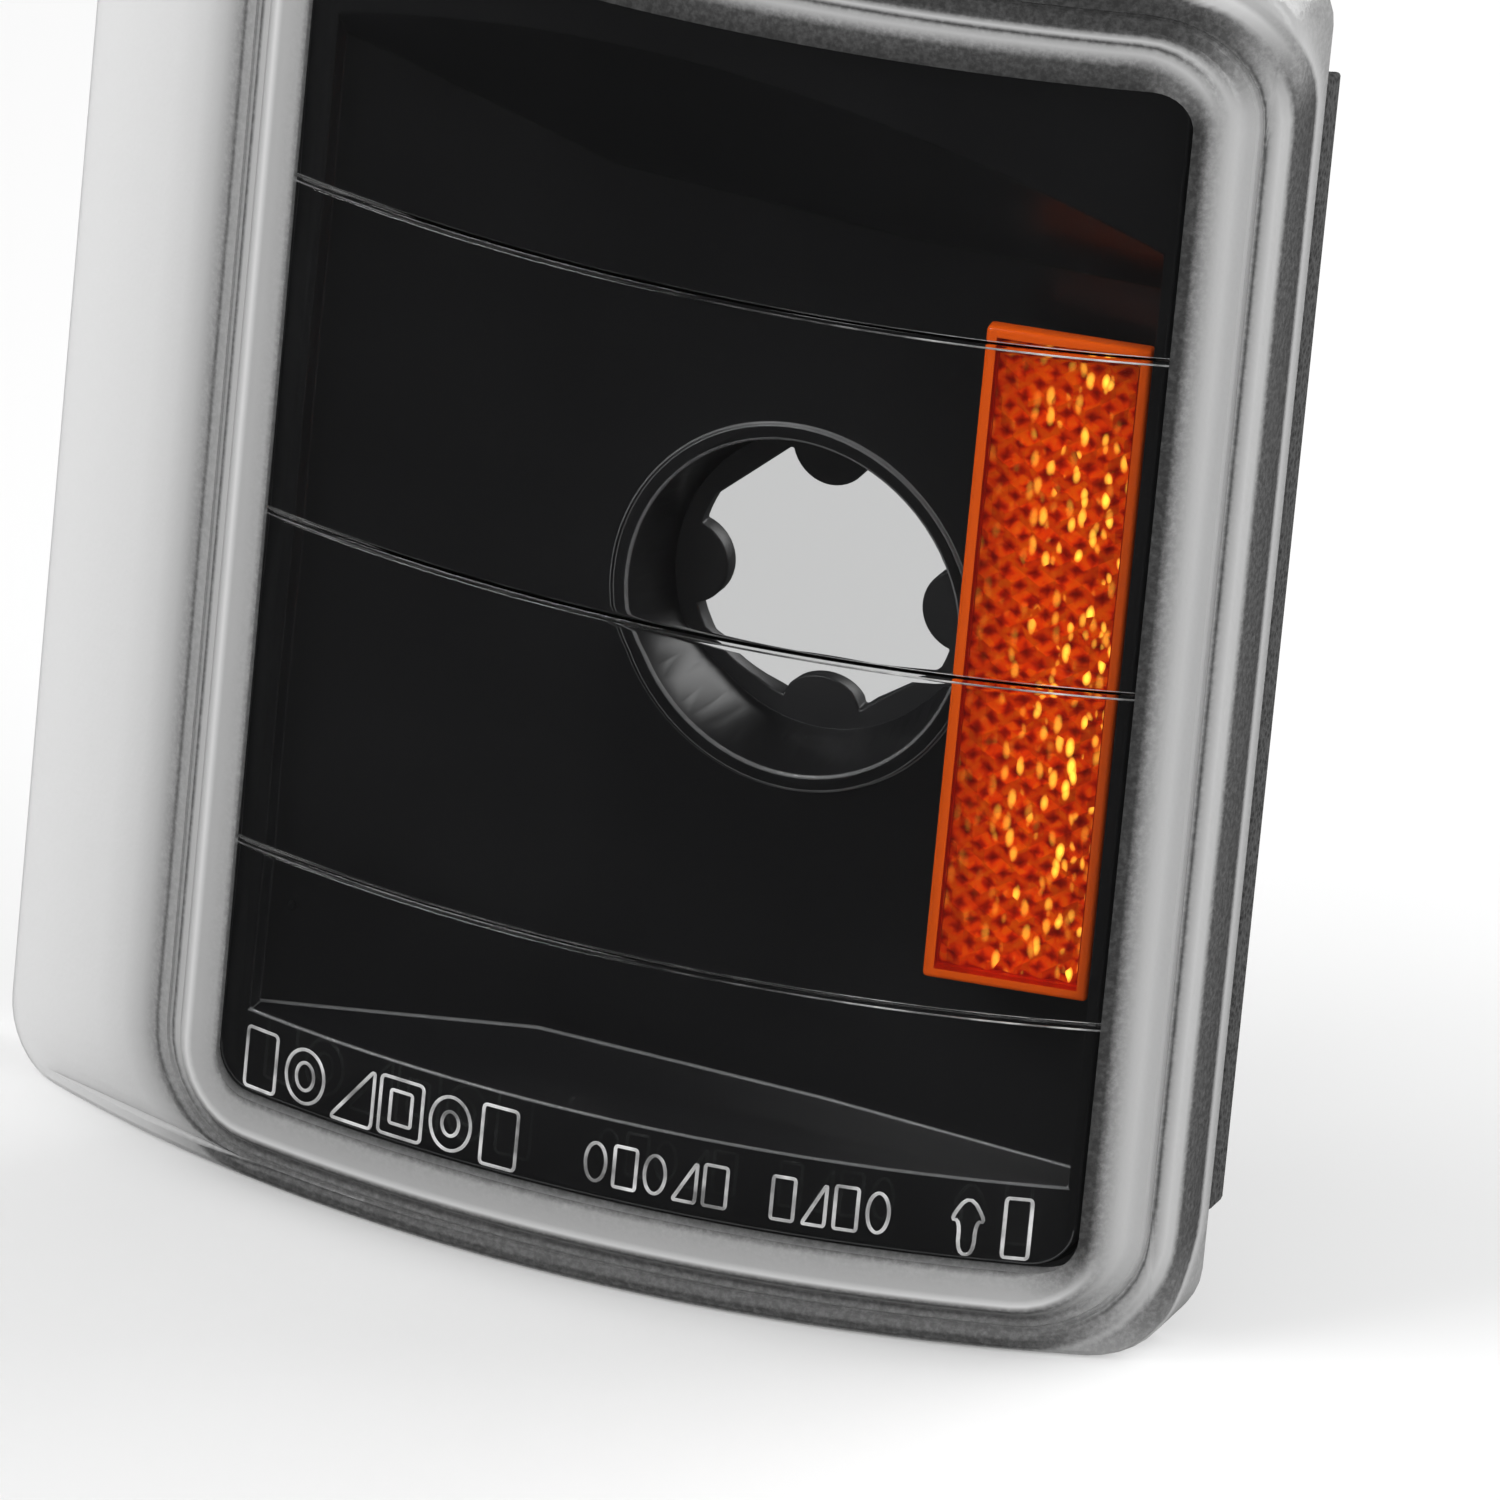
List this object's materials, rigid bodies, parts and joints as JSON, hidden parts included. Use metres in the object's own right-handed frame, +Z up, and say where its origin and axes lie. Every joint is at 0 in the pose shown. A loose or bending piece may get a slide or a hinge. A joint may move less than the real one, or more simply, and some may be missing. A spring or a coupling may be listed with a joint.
{
  "type": "corner marker lamp",
  "caption": "Left-hand corner marker lamp beside a car headlight: curved clear lens, black folded liner, amber side reflector, keyed bulb port and studs at the back.",
  "frame": {"origin": "midway between the two mounting studs, on the back face of the housing", "axes": "+Z up, -Y towards the front of the lens, +X to the right seen from the front; the studs point along +Y"},
  "size_m": [0.1274, 0.0497, 0.147],
  "materials": {
    "clear_lens": "clear moulded acrylic, polished window, stippled and frosted border",
    "butyl": "black butyl sealing bead",
    "black_housing": "black moulded plastic, fine grain",
    "black_liner": "satin black moulded plastic",
    "soft_rubber": "matt black rubber",
    "amber_reflex": "amber acrylic over cube-corner prisms",
    "amber_backing": "amber moulded plastic",
    "tape_foam": "dark adhesive foam tape",
    "zinc_steel": "zinc-plated steel",
    "membrane": "white breathable felt",
    "gasket_foam": "charcoal open-cell foam strip"
  },
  "bodies": {
    "root": {"lens": "clear_lens", "lens_seal": "butyl", "rear_housing": "black_housing", "inner_liner": "black_liner", "locator_grommet": "soft_rubber", "reflex_reflector": "amber_reflex", "reflex_backing": "amber_backing", "reflex_tape": "tape_foam", "mounting_studs": "zinc_steel", "stud_seals": "soft_rubber", "liner_screws": "zinc_steel", "screw_seals": "soft_rubber", "vent_caps": "soft_rubber", "vent_membranes": "membrane", "foam_strip_top": "gasket_foam", "foam_strip_bottom": "gasket_foam", "foam_strip_side": "gasket_foam"}
  },
  "joints": []
}
